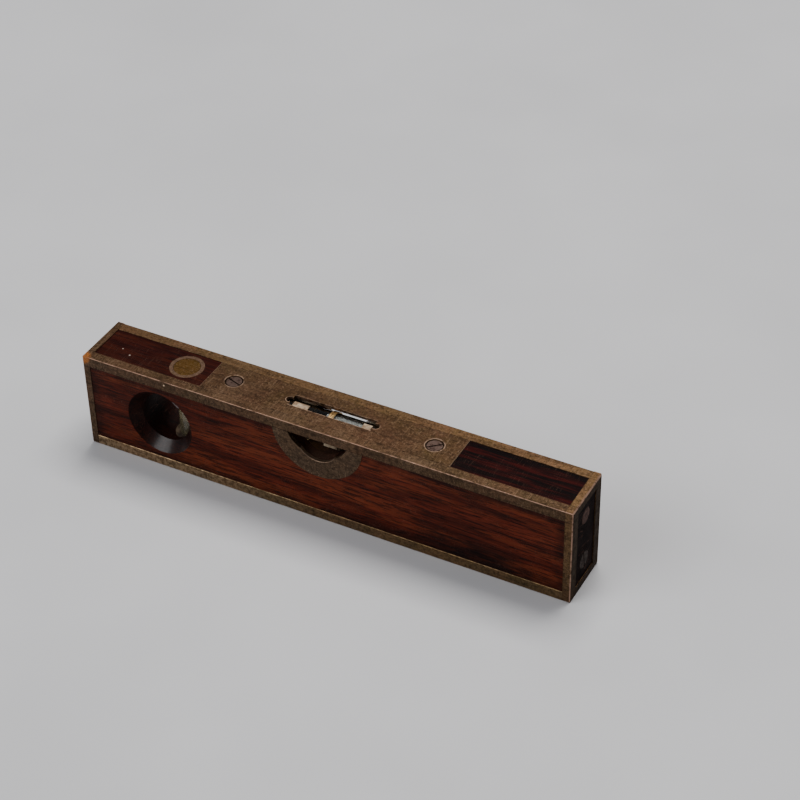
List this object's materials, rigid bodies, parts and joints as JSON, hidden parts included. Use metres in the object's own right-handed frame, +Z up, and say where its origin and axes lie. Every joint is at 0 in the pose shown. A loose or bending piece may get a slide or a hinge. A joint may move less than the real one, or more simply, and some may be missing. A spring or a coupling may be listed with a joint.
{
  "type": "spirit level",
  "caption": "Rosewood spirit level bound in brass angle, with a slotted top plate over a level vial and a bevelled round side hole for a plumb vial.",
  "frame": {"origin": "centre of the bottom face, on the bounding box's bottom", "axes": "+X along the level away from the plumb hole, -Y out of the front side, +Z up through the top plate"},
  "size_m": [0.165, 0.02, 0.034],
  "materials": {
    "rosewood": "waxed, worn",
    "binding_brass": "dull patina with scratches",
    "plate_brass": "dull patina with scratches",
    "ring_brass": "satin",
    "plug_brass": "dull",
    "screw_brass": "dull",
    "screw_steel": "worn",
    "vial_glass": "clear",
    "spirit": "clear liquid",
    "bubble": "clear",
    "plaster": "matt"
  },
  "bodies": {
    "level": {"rosewood_stock": "rosewood", "front_top_angle": "binding_brass", "rear_top_angle": "binding_brass", "front_bottom_angle": "binding_brass", "rear_bottom_angle": "binding_brass", "left_end_frame": "binding_brass", "right_end_frame": "binding_brass", "front_sight_plate": "plate_brass", "rear_sight_plate": "plate_brass", "top_plate": "plate_brass", "top_plate_screws": "screw_steel", "level_vial_glass": "vial_glass", "level_spirit": "spirit", "level_sight_ring": "ring_brass", "level_plaster_left": "plaster", "level_plaster_right": "plaster", "level_vial_saddle": "plaster", "plumb_vial_glass": "vial_glass", "plumb_spirit": "spirit", "plumb_plaster_top": "plaster", "plumb_plaster_bottom": "plaster", "plumb_plug": "plug_brass", "plumb_plug_ring": "ring_brass", "end_screws": "screw_brass", "end_plugs": "plug_brass"},
    "level_bubble": {"level_bubble": "bubble"},
    "plumb_bubble": {"plumb_bubble": "bubble"}
  },
  "joints": [
    {"name": "level_bubble_slide", "type": "slide", "parent": "level", "child": "level_bubble", "axis": [1, 0, 0], "range_m": [-0.016, 0.008], "stiffness_N_per_m": 5},
    {"name": "plumb_bubble_slide", "type": "slide", "parent": "level", "child": "plumb_bubble", "axis": [0, 0, 1], "range_m": [-0.013, 0], "stiffness_N_per_m": 20}
  ]
}
